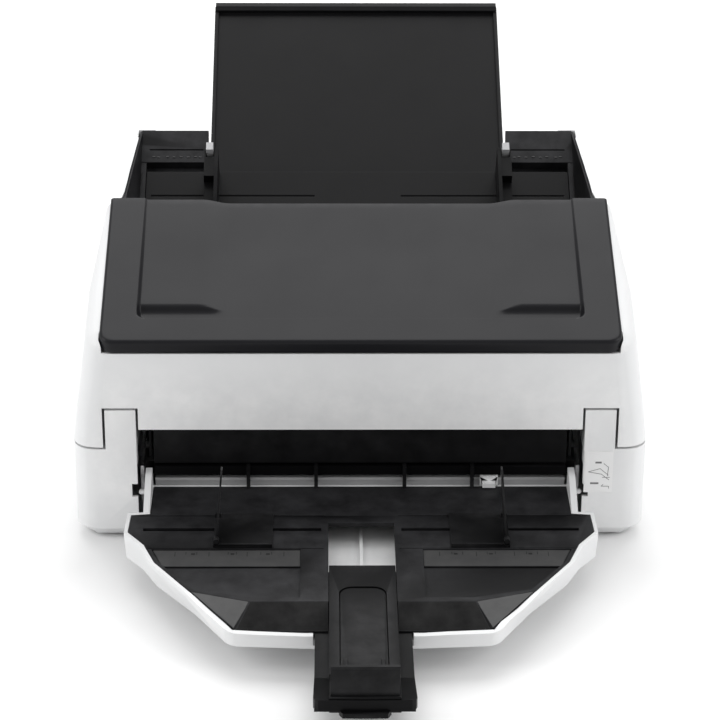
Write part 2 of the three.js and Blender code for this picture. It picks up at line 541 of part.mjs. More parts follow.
function stackerShell() {
  const { top, skirt, floor, pivotY, pivotZ } = STACK;
  const rim = mirrored([...SHELL_HALF, [42, -197], [0, -197.2]]);
  const well = mirrored([...TRAY_HALF, [42, -193.8], [0, -194]]);
  const outer = join(slab(rim, skirt, top - 0.2), tapered(mirrored(SHELL_FOOT), rim, floor, skirt));
  const inner = join(slab(well, skirt, top + 5), tapered(mirrored(TRAY_FOOT), well, floor + 2.5, skirt));
  let body = cut(cut(outer, inner), CORNER_FACET(1), CORNER_FACET(-1), FRONT_FACET());
  body = cut(body, box(-35.4, 35.4, -200, -180, floor + 2.5, 60));
  for (const side of [1, -1]) {
    const arm = bar([[12.4, 18], [12.4, 52], [9, 54.5], [-4, 52], [-33, 38], [-33, 18]], side * 159.6, side * 164.5);
    body = join(body, arm, turned(side > 0 ? [[163, 0], [163, 2.2], [169, 2.2], [170.2, 1.4], [170.2, 0]]
      : [[-170.2, 0], [-170.2, 1.4], [-169, 2.2], [-163, 2.2], [-163, 0]], pivotY, pivotZ, 16));
    body = join(body, box(side * 35.4, side * 37.6, -188, -44, floor + 1, 25.4));
  }
  return join(body, box(-1.2, 1.2, -180, -30, floor + 1, 23));
}

function stackerPlate() {
  const { top } = STACK;
  const low = top - 3;
  let body = slab(mirrored([...PLATE_HALF, [0, -166]]), low, top);
  const front = [[25, -165.8, top - 0.05], [80.4, -165.8, top - 0.05], [25, -164, low], [80.4, -164, low],
    [25, -190.2, 28], [90, -190.2, 28], [25, -190.2, 27], [90, -190.2, 27]];
  const corner = [[80.4, -165.8, top - 0.05], [123.6, -151.6, top - 0.05], [91.4, -188.8, 29.4], [90, -190.2, 28],
    [80.4, -164, low], [121.6, -150.6, low], [90, -190, 27], [91, -188.6, 27.4]];
  for (const side of [1, -1]) body = join(body, ...[front, corner].map((facet) => hull(facet, side)));
  body = cut(body, box(-24.6, 24.6, -400, -50, 0, 60));
  for (const side of [1, -1]) {
    body = cut(body, box(side * 30, side * 163, -62, -57.4, top - 2, 60));          // guide rail
    body = cut(body, slab(sided([[45, -90], [155, -90], [148.6, -109.6], [121.5, -149], [79, -160.5], [45, -160.5]],
      side), top - 1, 60));                                                       // scale band
    body = cut(body, slab(sided([[45, -114.5], [145.2, -114.5], [121, -148], [79, -159.5], [45, -159.5]], side),
      top - 2, 60));                                                              // sunken floor
    body = cut(body, box(side * 28, side * 168, -38.6, -37.8, top - 0.5, 60),
      box(side * 28, side * 158, -89, -88.2, top - 0.5, 60));
  }
  return body;
}

function stackGuide(side) {
  const base = box(side * 66, side * 109.6, -86.6, -37, STACK.top + GAP, STACK.top + 1.7);
  const lip = box(side * 66, side * 109.6, -88, -86, STACK.top + GAP, STACK.top + 3);
  const keel = box(side * 70, side * 105, -61.4, -58, STACK.top - 1.6, STACK.top + 1);
  const ear = box(side * 105.2, side * 109.6, -44.6, -41, STACK.top + 1, STACK.top + 5);
  const seat = new THREE.CylinderGeometry(2.5, 2.5, 9, 14).translate(side * 107.4, -83.6, STACK.top + 3.8);
  return cut(join(base, lip, keel, ear), solid(seat), box(side * 104.4, side * 112, -87, -81, STACK.top + 3.4, 60));
}

// thin paddle standing on the guide, leaning slightly inwards
function stackPaddle(side) {
  const blade = outline([[-81, 0], [-45.6, 0], [-46.4, 20], [-58, 47], [-64, 52], [-71, 53], [-76, 50], [-81, 20]]);
  const g = new THREE.ExtrudeGeometry(blade, { depth: 1.4, bevelEnabled: false }).applyMatrix4(TO_X)
    .translate(-0.7, 0, 0).rotateY(-side * 0.083).translate(side * 107.4, 0, STACK.top + 3.2);
  const barrel = new THREE.CylinderGeometry(2.1, 2.1, 5.2, 14).translate(side * 107.4, -83.2, STACK.top + 3.8);
  return join(solid(g), solid(barrel));
}

function stackerExtension() {
  const flange = slab(mirrored([[0, -104], [34, -104], [34.4, -282], [0, -282]]), 19.8, 26.6);
  const spine = slab(mirrored([[0, -115], [24.2, -115], [24.2, -292.8], [0, -293.4]]), 26, STACK.top + 0.4);
  const ramp = cut(slab(mirrored([[0, -248], [34.4, -248], [35, -289], [34, -291.6], [31.5, -293.4], [0, -294.2]]),
    26.2, 37), above([-40, -250, 26.6], [40, -250, 26.6], [0, -294.2, 36.4]), box(-40, 40, -300, -284, 20, 27.8));
  const tab = slab(mirrored([[0, -276], [17.8, -276], [17.6, -293], [15.2, -297.2], [0, -297.5]]), 24.2, 27.9);
  let body = cut(join(flange, spine, ramp, tab), box(-2, 2, -320, -100, 10, 23.6));
  const arch = new THREE.Shape();
  arch.moveTo(-17, -256); arch.lineTo(17, -256); arch.lineTo(17, -156);
  arch.absarc(7, -155.6, 10, 0, Math.PI / 2, false);
  arch.lineTo(-7, -145.6); arch.absarc(-7, -155.6, 10, Math.PI / 2, Math.PI, false); arch.lineTo(-17, -256);
  body = cut(body, slab(arch, STACK.top - 4.4, 60));
  return cut(body, box(-24, 24, -291.4, -264.4, STACK.top - 2.8, 60));
}

function middleStopper() {
  const arch = new THREE.Shape();
  arch.moveTo(-16.4, -252.5); arch.lineTo(16.4, -252.5); arch.lineTo(16.4, -156);
  arch.absarc(7, -155.6, 9.4, 0, Math.PI / 2, false);
  arch.lineTo(-7, -146.2); arch.absarc(-7, -155.6, 9.4, Math.PI / 2, Math.PI, false); arch.lineTo(-16.4, -252.5);
  const plate = slab(arch, STACK.top - 3.6, STACK.top - 0.4);
  const lugs = [-12.8, 12.8].map((x) => box(x - 1.3, x + 1.3, -254.4, -245, STACK.top - 3, STACK.top + 0.9));
  return join(plate, ...lugs);
}

const endStopper = () => join(box(-23.3, 23.3, -290.6, -288.2, STACK.top - 1.6, 60.5),
  box(-23.3, 23.3, -291, -287.9, 58.6, 60.5));

const exitSelector = () => join(box(92, 106, 8.4, 12.1, 38.6, 46.8), box(94, 104, 4.4, 9, 39, 43));

function powerSwitch() {
  return bar([[309, 32], [314.6, 24.4], [318.6, 24.8], [317.6, 32], [318.6, 39.2], [314.6, 39.6]], 95, 110);
}

function foot(x, y) {
  const g = new THREE.LatheGeometry([[0, 0], [8, 0], [9, 1], [9, 2.2], [0, 2.2]]
    .map(([r, z]) => new THREE.Vector2(r, z)), 24).rotateX(Math.PI / 2);
  return solid(g.translate(x, y, FOOT_Z));
}

// ---- assembly ----
const model = new THREE.Group();
const sides = [['left', -1], ['right', 1]];
const add = (name, body, look) => model.add(mesh(name, body, look));

add('base_plate', basePlate(), WHITE);
for (const [name, side] of sides) {
  add(`${name}_side_cover`, sideCover(side), WHITE);
  add(`${name}_side_frame`, sideFrame(side), STEEL);
  add(`${name}_hinge_bracket`, hingeBracket(side), STEEL);
  add(`${name}_rear_screw`, rearScrew(side), STEEL);
  add(`front_${name}_foot`, foot(side * 175, 26), RUBBER);
  add(`rear_${name}_foot`, foot(side * 175, 290), RUBBER);
  add(`${name}_upper_side_plate`, upperSidePlate(side), BLACK);
  add(`${name}_paper_guide`, sideGuide(side), BLACK);
  add(`${name}_guide_lock`, lockTab(side), GREY);
  add(`${name}_stack_guide`, stackGuide(side), BLACK);
  add(`${name}_stack_paddle`, stackPaddle(side), SOFT_BLACK);
}
add('rear_cover', rearCover(), WHITE);
add('hopper_base', hopperBase(), SOFT_BLACK);
add('front_lower_panel', frontLowerPanel(), GREY);
add('lower_paper_guide', lowerPaperGuide(), BLACK);
add('lower_scan_unit', lowerScanUnit(), SOFT_BLACK);
add('lower_scan_glass', lowerGlass(), GLASS);
add('drive_motor', driveMotor(), STEEL);
add('drive_belt', driveBelt(), RUBBER);
add('main_board', mainBoard(), [0x1f5b3a, 0.6]);
add('power_inlet', powerInlet(), BLACK);
add('usb_port', usbPort(), STEEL);
add('power_switch', powerSwitch(), BLACK);
add('guide_label', guideLabel(), [0xf2f2f2, 0.7]);
add('exit_selector', exitSelector(), WHITE);
add('upper_cover', upperCover(), WHITE);
add('top_cover', topCover(), SOFT_BLACK);
add('upper_paper_guide', upperPaperGuide(), BLACK);
add('upper_scan_unit', upperScanUnit(), SOFT_BLACK);
add('upper_scan_glass', upperGlass(), GLASS);
add('feed_roller_shaft', feedShaft(), STEEL);
add('feed_roller_sleeve', rollerSleeve(SHAFTS.feed, 28), RUBBER);
add('pick_roller_shaft', rollerShaft(SHAFTS.pick, -166, 166), STEEL);
add('pick_roller_sleeve', rollerSleeve(SHAFTS.pick, 28), RUBBER);
add('brake_roller_shaft', rollerShaft(SHAFTS.brake, -166, 166), STEEL);
add('brake_roller_sleeve', rollerSleeve(SHAFTS.brake, 24), RUBBER);
add('lower_eject_roller', ejectRoller(SHAFTS.ejectLow, 170), RUBBER);
add('upper_eject_roller', ejectRoller(SHAFTS.ejectHigh, 165), RUBBER);
add('motor_pulley', motorPulley(), STEEL);
add('hopper_table', hopperTable(), SOFT_BLACK);
add('hopper_extension', hopperExtension(), BLACK);
add('stacker_shell', stackerShell(), WHITE);
add('stacker_plate', stackerPlate(), SOFT_BLACK);
add('stacker_extension', stackerExtension(), BLACK);
add('middle_stopper', middleStopper(), BLACK);
add('end_stopper', endStopper(), BLACK);

// centre the footprint on the origin and stand the feet on z = 0
const size = new THREE.Box3().setFromObject(model);
model.position.set(0, -(size.min.y + size.max.y) / 2, -size.min.z);

export default model;
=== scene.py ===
import json
import math
import bmesh
import bpy
from mathutils import Matrix, Vector


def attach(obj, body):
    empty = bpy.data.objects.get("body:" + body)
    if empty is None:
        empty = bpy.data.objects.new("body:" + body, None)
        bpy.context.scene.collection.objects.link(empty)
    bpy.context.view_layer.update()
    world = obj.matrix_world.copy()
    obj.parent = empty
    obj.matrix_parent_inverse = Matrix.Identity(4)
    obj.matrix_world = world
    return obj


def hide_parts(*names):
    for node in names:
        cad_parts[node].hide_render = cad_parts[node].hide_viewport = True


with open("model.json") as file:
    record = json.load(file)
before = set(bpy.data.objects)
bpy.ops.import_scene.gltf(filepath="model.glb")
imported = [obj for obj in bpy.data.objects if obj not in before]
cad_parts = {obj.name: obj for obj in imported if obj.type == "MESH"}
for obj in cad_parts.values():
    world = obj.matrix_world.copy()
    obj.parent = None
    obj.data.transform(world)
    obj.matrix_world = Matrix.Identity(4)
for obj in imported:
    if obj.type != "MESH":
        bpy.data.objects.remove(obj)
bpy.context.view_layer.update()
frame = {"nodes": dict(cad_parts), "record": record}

NODES = frame["nodes"]
RECORD = frame["record"]
SLOT_OF = {s["node"]: s["material_slot"] for s in RECORD["subparts"]}
BODY_OF = {n: b for b, members in RECORD["behaviour"]["bodies"].items() for n in members}
MM = 0.001
DY, DZ = -74.314, 3.5      # the housing's front plane and datum height in the part's frame, mm
TOP_Z0, TOP_ANGLE = 166.0, math.atan(0.3576)
CHUTE_Y, CHUTE_Z, CHUTE_ANGLE = 249.6, 178.1, math.atan(0.5843)


def place(x, y, z):
    """A point in the housing's own millimetres, in metres in the part's frame."""
    return Vector((x * MM, (y + DY) * MM, (z + DZ) * MM))


def on_top(x, s, n):
    c, k = math.cos(TOP_ANGLE), math.sin(TOP_ANGLE)
    return place(x, s * c - n * k, TOP_Z0 + s * k + n * c)


def on_chute(x, v, w):
    c, k = math.cos(CHUTE_ANGLE), math.sin(CHUTE_ANGLE)
    return place(x, CHUTE_Y + v * c - w * k, CHUTE_Z + v * k + w * c)


# ---------------------------------------------------------------- materials
def new_material(name, color, roughness, metallic=0.0, specular=0.5):
    mat = bpy.data.materials.new(name)
    mat.use_nodes = True
    nt = mat.node_tree
    bsdf = nt.nodes["Principled BSDF"]
    bsdf.inputs["Base Color"].default_value = (*color, 1)
    bsdf.inputs["Roughness"].default_value = roughness
    bsdf.inputs["Metallic"].default_value = metallic
    bsdf.inputs["Specular IOR Level"].default_value = specular
    return mat, nt, bsdf


def coords(nt):
    return nt.nodes.new("ShaderNodeTexCoord").outputs["Object"]


def noise(nt, vec, scale, detail=3.0, rough=0.5):
    n = nt.nodes.new("ShaderNodeTexNoise")
    n.inputs["Scale"].default_value = scale
    n.inputs["Detail"].default_value = detail
    n.inputs["Roughness"].default_value = rough
    nt.links.new(vec, n.inputs["Vector"])
    return n.outputs["Fac"]


def remap(nt, value, lo, hi, from_lo=0.3, from_hi=0.7):
    m = nt.nodes.new("ShaderNodeMapRange")
    m.inputs["From Min"].default_value = from_lo
    m.inputs["From Max"].default_value = from_hi
    m.inputs["To Min"].default_value = lo
    m.inputs["To Max"].default_value = hi
    nt.links.new(value, m.inputs["Value"])
    return m.outputs["Result"]


def mix_colors(nt, fac, a, b):
    m = nt.nodes.new("ShaderNodeMix")
    m.data_type = "RGBA"
    nt.links.new(fac, m.inputs[0])
    for socket, value in ((m.inputs[6], a), (m.inputs[7], b)):
        if isinstance(value, tuple):
            socket.default_value = (*value, 1)
        else:
            nt.links.new(value, socket)
    return m.outputs[2]


def bump(nt, bsdf, height, strength, distance):
    b = nt.nodes.new("ShaderNodeBump")
    b.inputs["Strength"].default_value = strength
    b.inputs["Distance"].default_value = distance
    nt.links.new(height, b.inputs["Height"])
    nt.links.new(b.outputs["Normal"], bsdf.inputs["Normal"])


def plastic(name, color, worn, rough, grain=1400.0, grain_depth=0.00004, variation=0.05, specular=0.5):
    """Moulded plastic: spark-eroded grain, slow tone and gloss drift, edges rubbed a little brighter."""
    mat, nt, bsdf = new_material(name, color, rough, specular=specular)
    vec = coords(nt)
    dark = tuple(c * (1 - variation) for c in color)
    base = mix_colors(nt, remap(nt, noise(nt, vec, 9.0, 4.0, 0.55), 0.0, 1.0), dark, color)
    edge = nt.nodes.new("ShaderNodeNewGeometry").outputs["Pointiness"]
    wear = nt.nodes.new("ShaderNodeMath")
    wear.operation = "MULTIPLY"
    nt.links.new(remap(nt, edge, 0.0, 1.0, 0.52, 0.64), wear.inputs[0])
    nt.links.new(remap(nt, noise(nt, vec, 60.0, 5.0, 0.6), 0.25, 1.0), wear.inputs[1])
    nt.links.new(mix_colors(nt, wear.outputs[0], base, worn), bsdf.inputs["Base Color"])
    gloss = remap(nt, noise(nt, vec, 23.0, 5.0, 0.6), rough - 0.03, rough + 0.04)
    nt.links.new(gloss, bsdf.inputs["Roughness"])
    bump(nt, bsdf, noise(nt, vec, grain, 2.0, 0.6), 0.5, grain_depth)
    return mat


def make_materials():
    lib = {}
    lib["white_plastic"] = plastic("white_plastic", (0.74, 0.745, 0.75), (0.84, 0.84, 0.84), 0.38,
                                   1100.0, 0.00002, 0.015)
    lib["black_plastic"] = plastic("black_plastic", (0.0040, 0.0040, 0.0044), (0.026, 0.026, 0.027), 0.36,
                                   900.0, 0.00003, 0.08, 0.08)
    lib["textured_black_plastic"] = plastic("textured_black_plastic", (0.0055, 0.0055, 0.006),
                                            (0.030, 0.030, 0.032), 0.42, 1500.0, 0.00005, 0.08, 0.10)
    lib["cover_black"] = plastic("cover_black", (0.0085, 0.0085, 0.0102), (0.045, 0.045, 0.048), 0.33,
                                 1500.0, 0.00004, 0.05, 0.17)
    lib["band_grey"] = plastic("band_grey", (0.034, 0.034, 0.035), (0.05, 0.05, 0.05), 0.42, 1500.0, 0.00004, 0.05, 0.15)
    # painted shade: a darker black for the stacker's front facet sheet, standing in for the shade on that slope
    lib["facet_painted_shade"] = plastic("facet_painted_shade", (0.0035, 0.0035, 0.0037), (0.02, 0.02, 0.02), 0.5, 1500.0, 0.00004,
                                 0.05, 0.04)
    # painted highlight: a lighter, glossier grey for the stacker's corner facet sheet, standing in for the sheen that
    # facet catches
    lib["facet_painted_highlight"] = plastic("facet_painted_highlight", (0.030, 0.030, 0.031), (0.05, 0.05, 0.05), 0.4, 1500.0, 0.00004, 0.05, 0.3)
    lib["mark_black"] = plastic("mark_black", (0.008, 0.008, 0.008), (0.02, 0.02, 0.02), 0.5, 900.0, 0.00002, 0.05, 0.1)
    lib["icon_black"] = plastic("icon_black", (0.014, 0.014, 0.014), (0.05, 0.05, 0.05), 0.35, 900.0, 0.00002, 0.05, 0.3)
    lib["mark_grey"] = plastic("mark_grey", (0.12, 0.12, 0.12), (0.2, 0.2, 0.2), 0.5, 900.0, 0.00001, 0.05, 0.2)
    lib["light_grey_plastic"] = plastic("light_grey_plastic", (0.40, 0.40, 0.41), (0.52, 0.52, 0.52), 0.45)
    rubber, nt, bsdf = new_material("rubber", (0.018, 0.018, 0.018), 0.75)
    vec = coords(nt)
    nt.links.new(mix_colors(nt, noise(nt, vec, 120.0), (0.010, 0.010, 0.010), (0.025, 0.025, 0.025)),
                 bsdf.inputs["Base Color"])
    bump(nt, bsdf, noise(nt, vec, 700.0, 4.0), 0.6, 0.0001)
    lib["rubber"] = rubber
    steel, nt, bsdf = new_material("steel", (0.45, 0.45, 0.46), 0.32, 1.0)
    vec = coords(nt)
    mp = nt.nodes.new("ShaderNodeMapping")
    mp.inputs["Scale"].default_value = (4.0, 1.0, 60.0)
    nt.links.new(vec, mp.inputs["Vector"])
    streak = noise(nt, mp.outputs["Vector"], 40.0, 4.0, 0.7)
    nt.links.new(remap(nt, streak, 0.24, 0.42), bsdf.inputs["Roughness"])
    nt.links.new(mix_colors(nt, streak, (0.38, 0.38, 0.39), (0.52, 0.52, 0.52)), bsdf.inputs["Base Color"])
    bump(nt, bsdf, streak, 0.2, 0.00005)
    lib["steel"] = steel
    glass, nt, bsdf = new_material("scan_glass", (0.75, 0.82, 0.84), 0.04)
    bsdf.inputs["Transmission Weight"].default_value = 0.8
    nt.links.new(remap(nt, noise(nt, coords(nt), 30.0), 0.02, 0.09), bsdf.inputs["Roughness"])
    lib["scan_glass"] = glass
    board, nt, bsdf = new_material("circuit_board", (0.01, 0.09, 0.04), 0.35)
    vec = coords(nt)
    nt.links.new(mix_colors(nt, noise(nt, vec, 220.0, 2.0), (0.008, 0.07, 0.03), (0.02, 0.14, 0.07)),
                 bsdf.inputs["Base Color"])
    bump(nt, bsdf, noise(nt, vec, 260.0, 1.0), 0.4, 0.0002)
    lib["circuit_board"] = board
    lib["label_film"] = plastic("label_film", (0.78, 0.78, 0.78), (0.82, 0.82, 0.82), 0.30, 500.0, 0.00001, 0.02)
    return lib


MATERIALS = make_materials()


# ---------------------------------------------------------------- pieces
def dress(piece, node_names, slot, body, material=None):
    if node_names:
        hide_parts(*node_names)
    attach(piece, body)
    piece.data.materials.clear()
    piece.data.materials.append(MATERIALS[material or slot])
    return piece


def smooth_by_angle(me, degrees):
    me.polygons.foreach_set("use_smooth", [True] * len(me.polygons))
    me.set_sharp_from_angle(angle=math.radians(degrees))


def round_edges(ob, width, segments=3, limit=24.0):
    mod = ob.modifiers.new("rounding", "BEVEL")
    mod.width = width * MM
    mod.segments = segments
    mod.limit_method = "ANGLE"
    mod.angle_limit = math.radians(limit)
    mod.harden_normals = True
    mod.use_clamp_overlap = True


def surface_area(bm):
    return sum(f.calc_area() for f in bm.faces)


def refined(node, width=0.6, segments=3, limit=24.0, smooth=32.0, material=None):
    """A copy of a CAD solid with its edges rounded as a moulding's are."""
    bm = bmesh.new()
    bm.from_mesh(NODES[node].data)
    bmesh.ops.remove_doubles(bm, verts=bm.verts, dist=2e-6)
    clean = bm.copy()
    bmesh.ops.dissolve_limit(clean, angle_limit=math.radians(0.3), verts=clean.verts, edges=clean.edges)
    probe = clean.copy()
    bmesh.ops.triangulate(probe, faces=probe.faces)
    whole = abs(surface_area(probe) / surface_area(bm) - 1) < 1e-4
    me = bpy.data.meshes.new(f"vis_{node}")
    (clean if whole and node not in KEEP_TRIANGLES else bm).to_mesh(me)
    for b in (bm, clean, probe):
        b.free()
    for name in [a.name for a in me.attributes if a.name in ("custom_normal", "UVMap")]:
        me.attributes.remove(me.attributes[name])
    ob = bpy.data.objects.new(f"vis_{node}", me)
    bpy.context.scene.collection.objects.link(ob)
    smooth_by_angle(me, smooth)
    if width > 0:
        round_edges(ob, width, segments, limit)
    return dress(ob, [node], SLOT_OF[node], BODY_OF[node], material)


def built(name, verts, faces, node_names, slot, body, smooth=35.0, material=None):
    me = bpy.data.meshes.new(name)
    me.from_pydata(verts, [], faces)
    bm = bmesh.new()
    bm.from_mesh(me)
    bmesh.ops.remove_doubles(bm, verts=bm.verts, dist=1e-6)
    bmesh.ops.recalc_face_normals(bm, faces=bm.faces)
    bm.to_mesh(me)
    bm.free()
    ob = bpy.data.objects.new(name, me)
    bpy.context.scene.collection.objects.link(ob)
    smooth_by_angle(me, smooth)
    return dress(ob, node_names, slot, body, material)


def smoothstep(a, b, t):
    t = min(1.0, max(0.0, (t - a) / (b - a)))
    return t * t * (3 - 2 * t)


def spread(marks, step):
    """Marks joined by evenly spaced values no further than step apart."""
    out = [marks[0]]
    for a, b in zip(marks, marks[1:]):
        n = max(1, math.ceil((b - a) / step))
        out += [a + (b - a) * i / n for i in range(1, n + 1)]
    return out


# ---- the black top: one pressed sheet with a shallow dish, side shelves and a deep front edge
TOP = dict(half=196.4, front=-2.2, rear=161.4, corner=11.0, edge=3.0, lip=155.2)


def top_half_width(s):
    into = TOP["corner"] - (s - TOP["front"])
    if into <= 0:
        return TOP["half"]
    return TOP["half"] - TOP["corner"] + math.sqrt(max(0.0, TOP["corner"] ** 2 - into ** 2))


def recess_depth(x, s):
    """Depth of the dish under the rim at a place on the cover."""
    corner = 8.0
    dx, ds = max(0.0, x - (170 - corner)), max(0.0, (24 + corner) - s)
    reach = corner - math.hypot(dx, ds) if dx > 0 and ds > 0 else min(170 - x, s - 24)
    inside = smoothstep(0.0, 3.4, reach)
    shelf = 3.4 - 1.6 * smoothstep(60, 161, s)
    dish = 6.6 - 0.8 * smoothstep(100, 161, s)
    lowered = max(1 - smoothstep(37.0, 42.0, s), 1 - smoothstep(102, 124, x))
    return inside * (shelf + (dish - shelf) * lowered)


def plan_offset(x, s):
    """How far inside the cover's outline a place is, and which way the outline faces there."""
    dx = max(0.0, abs(x) - (TOP["half"] - TOP["corner"]))
    ds = max(0.0, TOP["front"] + TOP["corner"] - s)
    reach = math.hypot(dx, ds)
    if dx > 0 and ds > 0:
        return TOP["corner"] - reach, (math.copysign(dx / reach, x), -ds / reach)
    if TOP["half"] - abs(x) < s - TOP["front"]:
        return TOP["half"] - abs(x), (math.copysign(1.0, x), 0.0)
    return s - TOP["front"], (0.0, -1.0)


def rim_fall(x, s):
    near, r = plan_offset(x, s)[0], TOP["edge"]
    return 0.0 if near >= r else r - math.sqrt(max(0.0, r * r - (r - near) ** 2))


def make_top_cover():
    cols = spread([0, 96, 128, 162], 3.0)
    cols += [164, 165.4, 166.4, 167.2, 168, 168.8, 169.6, 170.2, 172, 180, 186]
    edge_offsets = [5.0, 3.0, 2.2, 1.5, 0.9, 0.45, 0.15, 0.0]
    rows = [-2.2, -2.1, -1.8, -1.3, -0.7, 0.0, 0.8, 2.0, 3.6, 5.6, 8.8, 14, 19, 23, 24, 24.8, 25.6, 26.4, 27.4, 30,
            34, 38, 39, 40, 41.5, 44] + spread([50, 161.4], 6.0)
    rings = []
    for s in rows:
        hw = top_half_width(s)
        half = [x * min(1.0, (hw - 5.5) / 186.5) for x in cols] + [hw - o for o in edge_offsets]
        xs = [-x for x in reversed(half[1:])] + half
        rings.append([(x, s, -recess_depth(abs(x), s) - rim_fall(abs(x), s)) for x in xs])
    width = len(rings[0])
    verts = [on_top(*p) for ring in rings for p in ring]
    faces = [(i * width + j, i * width + j + 1, (i + 1) * width + j + 1, (i + 1) * width + j)
             for i in range(len(rows) - 1) for j in range(width - 1)]
    # underside, a wall's thickness below
    base = len(verts)
    thick = 2.2
    for ring in rings:
        for x, s, n in ring:
            hw = top_half_width(s) - 2.0
            verts.append(on_top(max(-hw, min(hw, x)), max(s, TOP["front"] + 2.0), min(n, -0.8) - thick))
    faces += [(base + i * width + j, base + (i + 1) * width + j, base + (i + 1) * width + j + 1, base + i * width + j + 1)
              for i in range(len(rows) - 1) for j in range(width - 1)]
    # the rim's outer ring: down the left, along the front, up the right
    last = len(rows) - 1
    loop = [(i, 0) for i in range(last, 0, -1)] + [(0, j) for j in range(width)] + [(i, width - 1) for i in range(1, last + 1)]
    skirt = []
    for i, j in loop:
        x, s, n = rings[i][j]
        p = on_top(x, s, n)
        facing = plan_offset(x * 0.9999, s)[1]
        inward = Vector((-facing[0], -facing[1], 0)) * MM
        turned = abs(facing[0])
        share = (1 - 0.36 * turned ** 3) * (1 - 0.72 * smoothstep(8.0, 26.0, s)) * (1 - smoothstep(24, 60, s))
        fall = max(0.6, (p.z / MM - DZ - TOP["lip"]) * share)
        start = len(verts)
        for drop, tuck in ((max(0.1, fall - 2.2), 0.0), (max(0.2, fall - 1.2), 0.3), (max(0.4, fall - 0.35), 1.1),
                           (fall, 2.4)):
            verts.append(p - Vector((0, 0, drop * MM)) + inward * tuck)
        skirt.append((i * width + j, start, start + 1, start + 2, start + 3, base + i * width + j))
    for a, b in zip(skirt, skirt[1:]):
        for k in range(5):
            faces.append((a[k], a[k + 1], b[k + 1], b[k]))
    rear = [(last * width + j, base + last * width + j) for j in range(width)]
    for (a, b), (c, d) in zip(rear, rear[1:]):
        faces.append((a, b, d, c))
    for k in (0, -1):
        first = skirt[k]
        faces.append(tuple(first) if k else tuple(reversed(first)))
    return built("black_top", verts, faces, ["top_cover"], "textured_black_plastic", "feeder_cover", 40.0,
                 "cover_black")


def box_verts(x0, x1, y0, y1, z0, z1, at=place):
    return [at(x, y, z) for x in (x0, x1) for y in (y0, y1) for z in (z0, z1)]


BOX_FACES = [(0, 1, 3, 2), (4, 6, 7, 5), (0, 4, 5, 1), (2, 3, 7, 6), (0, 2, 6, 4), (1, 5, 7, 3)]


def bars(name, boxes, slot, body, at=place, node_names=(), material=None, width=0.0):
    """Several small mouldings that belong together, as one piece."""
    verts, faces = [], []
    for b in boxes:
        faces += [tuple(len(verts) + i for i in f) for f in BOX_FACES]
        verts += box_verts(*b, at=at)
    ob = built(name, verts, faces, list(node_names), slot, body, 35.0, material)
    if width:
        round_edges(ob, width, 2)
    return ob


KEEP_TRIANGLES = {"stacker_plate", "hopper_base", "hopper_table"}
WIDTHS = {
    "base_plate": 1.2, "rear_cover": 0.5, "hopper_base": 0.6, "hopper_table": 0.5, "hopper_extension": 0.7,
    "stacker_shell": 0.9, "stacker_plate": 0.25, "stacker_extension": 0.6, "middle_stopper": 0.3,
    "end_stopper": 0.4, "front_lower_panel": 0.4, "exit_selector": 0.25, "power_inlet": 0.4, "power_switch": 0.8,
    "usb_port": 0.2, "left_side_cover": 0.9, "right_side_cover": 0.9, "upper_cover": 0.9,
    "left_stack_paddle": 0.3, "right_stack_paddle": 0.3, "left_paper_guide": 0.5, "right_paper_guide": 0.5,
    "guide_label": 0.0,
}
SHARP_LIMIT = {"upper_cover": 40.0, "left_side_cover": 40.0, "right_side_cover": 40.0}
FLAT_FACETS = {"stacker_plate", "stacker_extension"}       # facets that meet at a shallow angle
make_top_cover()
for node in sorted(NODES):
    if node != "top_cover":
        angle = 6.0 if node in FLAT_FACETS else SHARP_LIMIT.get(node, 24.0)
        refined(node, WIDTHS.get(node, 0.3), limit=max(angle, 12.0), smooth=angle)


STACK_TOP = 38.0


def plate_outline(points, z, side, lift=0.0):
    return [place(side * x, y, z + lift) for x, y in points]


def flat_piece(name, outline, thick, slot, body, material=None):
    """A thin raised patch from an outline of points, facing up."""
    n = len(outline)
    low = [p - Vector((0, 0, thick * MM)) for p in outline]
    faces = [tuple(range(n)), tuple(range(2 * n - 1, n - 1, -1))]
    faces += [(i, n + i, n + (i + 1) % n, (i + 1) % n) for i in range(n)]
    return built(name, list(outline) + low, faces, [], slot, body, 30.0, material)


